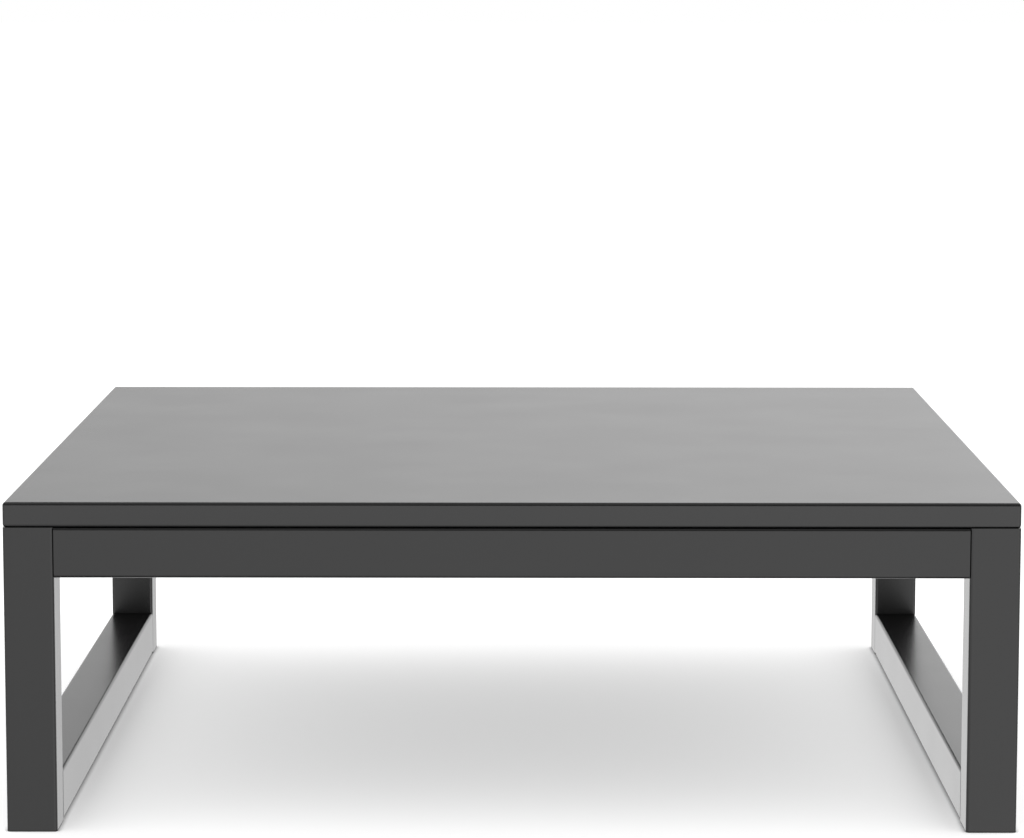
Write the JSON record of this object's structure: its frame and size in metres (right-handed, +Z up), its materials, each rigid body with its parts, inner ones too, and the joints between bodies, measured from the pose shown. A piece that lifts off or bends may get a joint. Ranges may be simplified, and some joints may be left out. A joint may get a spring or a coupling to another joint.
{
  "type": "pizza oven stand",
  "caption": "Low square stand of black powder-coated steel: folded sheet-steel tray top on a square-tube frame with floor rails, open underneath, to raise a tabletop pizza oven.",
  "frame": {"origin": "on the floor, under the middle of the stand", "axes": "+Z up, +X to the right as seen from the front, the front faces -Y"},
  "size_m": [0.6, 0.6, 0.1978],
  "materials": {
    "black_powder_coat": "satin, fine powder-coat texture",
    "zinc_steel": "bright zinc plating",
    "glide_plastic": "moulded, matt"
  },
  "bodies": {
    "root": {"top_tray": "black_powder_coat", "left_tray_stiffener": "black_powder_coat", "centre_tray_stiffener": "black_powder_coat", "right_tray_stiffener": "black_powder_coat", "front_left_leg": "black_powder_coat", "front_right_leg": "black_powder_coat", "rear_left_leg": "black_powder_coat", "rear_right_leg": "black_powder_coat", "left_bottom_rail": "black_powder_coat", "right_bottom_rail": "black_powder_coat", "left_top_rail": "black_powder_coat", "right_top_rail": "black_powder_coat", "front_apron": "black_powder_coat", "rear_apron": "black_powder_coat", "front_left_corner_bracket": "black_powder_coat", "front_right_corner_bracket": "black_powder_coat", "rear_left_corner_bracket": "black_powder_coat", "rear_right_corner_bracket": "black_powder_coat", "bracket_bolts": "zinc_steel", "bracket_weld_nuts": "zinc_steel", "tray_studs": "zinc_steel", "tray_nuts": "zinc_steel", "front_left_glide": "glide_plastic", "front_right_glide": "glide_plastic", "rear_left_glide": "glide_plastic", "rear_right_glide": "glide_plastic"}
  },
  "joints": []
}
